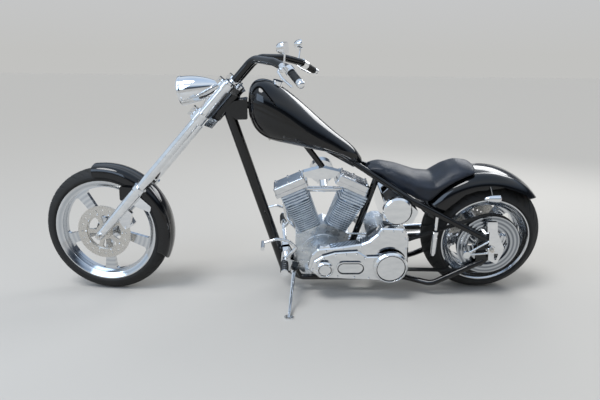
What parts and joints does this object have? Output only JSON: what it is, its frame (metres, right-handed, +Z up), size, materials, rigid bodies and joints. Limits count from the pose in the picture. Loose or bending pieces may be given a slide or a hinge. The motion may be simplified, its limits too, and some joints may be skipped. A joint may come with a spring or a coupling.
{
  "type": "chopper motorcycle",
  "caption": "Long raked rigid-framed custom motorcycle with a finned vee engine, open primary-side covers, billet wheels and a solo seat, leaning on its side stand.",
  "frame": {"origin": "bottom centre of the bounding box: on the ground, midway along and across the parked machine", "axes": "-X forward, +X to the rear wheel, +Y to the rider's right, +Z up; the machine leans to -Y"},
  "size_m": [2.7364, 0.9545, 1.3684],
  "materials": {
    "gloss_black": "gloss",
    "chrome": "polished",
    "polished_aluminium": "polished",
    "cast_aluminium": "satin",
    "brake_steel": "brushed",
    "tyre_rubber": "matt",
    "black_rubber": "matt",
    "black_leather": "satin",
    "lamp_glass": "clear",
    "red_lens": "gloss"
  },
  "bodies": {
    "frame": {"axle_bracket": "chrome", "backbone": "gloss_black", "breather_canister": "chrome", "crankcase": "polished_aluminium", "cylinder_heads": "cast_aluminium", "cylinders": "cast_aluminium", "downtube": "gloss_black", "drive_belt": "black_rubber", "drum_cover": "chrome", "exhaust_pipes": "chrome", "foot_controls": "chrome", "fuel_tank": "gloss_black", "gearbox": "polished_aluminium", "intake": "chrome", "lower_rail_left": "gloss_black", "lower_rail_right": "gloss_black", "oil_tank": "chrome", "primary_case": "chrome", "primary_covers": "chrome", "pushrod_tubes": "chrome", "rear_axle": "brake_steel", "rear_caliper": "polished_aluminium", "rear_fender": "gloss_black", "rocker_boxes": "polished_aluminium", "seat": "black_leather", "seat_post": "gloss_black", "steering_head": "gloss_black", "tail_lamp": "red_lens", "tank_cap": "chrome", "top_engine_mount": "chrome", "turn_signals": "chrome", "upper_stay_left": "gloss_black", "upper_stay_right": "gloss_black"},
    "steering": {"fender_straps": "chrome", "fork_sliders": "chrome", "fork_tubes": "chrome", "front_axle": "brake_steel", "front_caliper": "polished_aluminium", "front_fender": "gloss_black", "grips": "black_rubber", "hand_controls": "chrome", "handlebar_left": "gloss_black", "handlebar_right": "gloss_black", "headlamp_lens": "lamp_glass", "headlamp_shell": "chrome", "lower_fork_tree": "chrome", "mirrors": "chrome", "upper_fork_tree": "chrome"},
    "front_wheel": {"front_brake_disc": "brake_steel", "front_rim": "polished_aluminium", "front_tyre": "tyre_rubber"},
    "rear_wheel": {"rear_brake_disc": "brake_steel", "rear_pulley": "polished_aluminium", "rear_rim": "polished_aluminium", "rear_tyre": "tyre_rubber"},
    "side_stand": {"side_stand": "chrome"}
  },
  "joints": [
    {"name": "steering_turn", "type": "hinge", "parent": "frame", "child": "steering", "pos_m": [-0.99138, 0.1207, 0.31568], "axis": [0.654, -0.1193, 0.747], "range_deg": [-19.33, 40.67]},
    {"name": "front_wheel_spin", "type": "hinge", "parent": "steering", "child": "front_wheel", "pos_m": [-1.02513, 0.12441, 0.34582], "axis": [0.1402, 0.9895, 0.0353], "continuous": true},
    {"name": "rear_wheel_spin", "type": "hinge", "parent": "frame", "child": "rear_wheel", "pos_m": [1.04026, 0.11886, 0.32568], "axis": [0.0001, 0.9875, 0.1576], "continuous": true},
    {"name": "side_stand_fold", "type": "hinge", "parent": "frame", "child": "side_stand", "pos_m": [-0.00587, -0.00602, 0.1445], "axis": [0.2035, -0.4433, 0.873], "range_deg": [0, 85.95]}
  ]
}
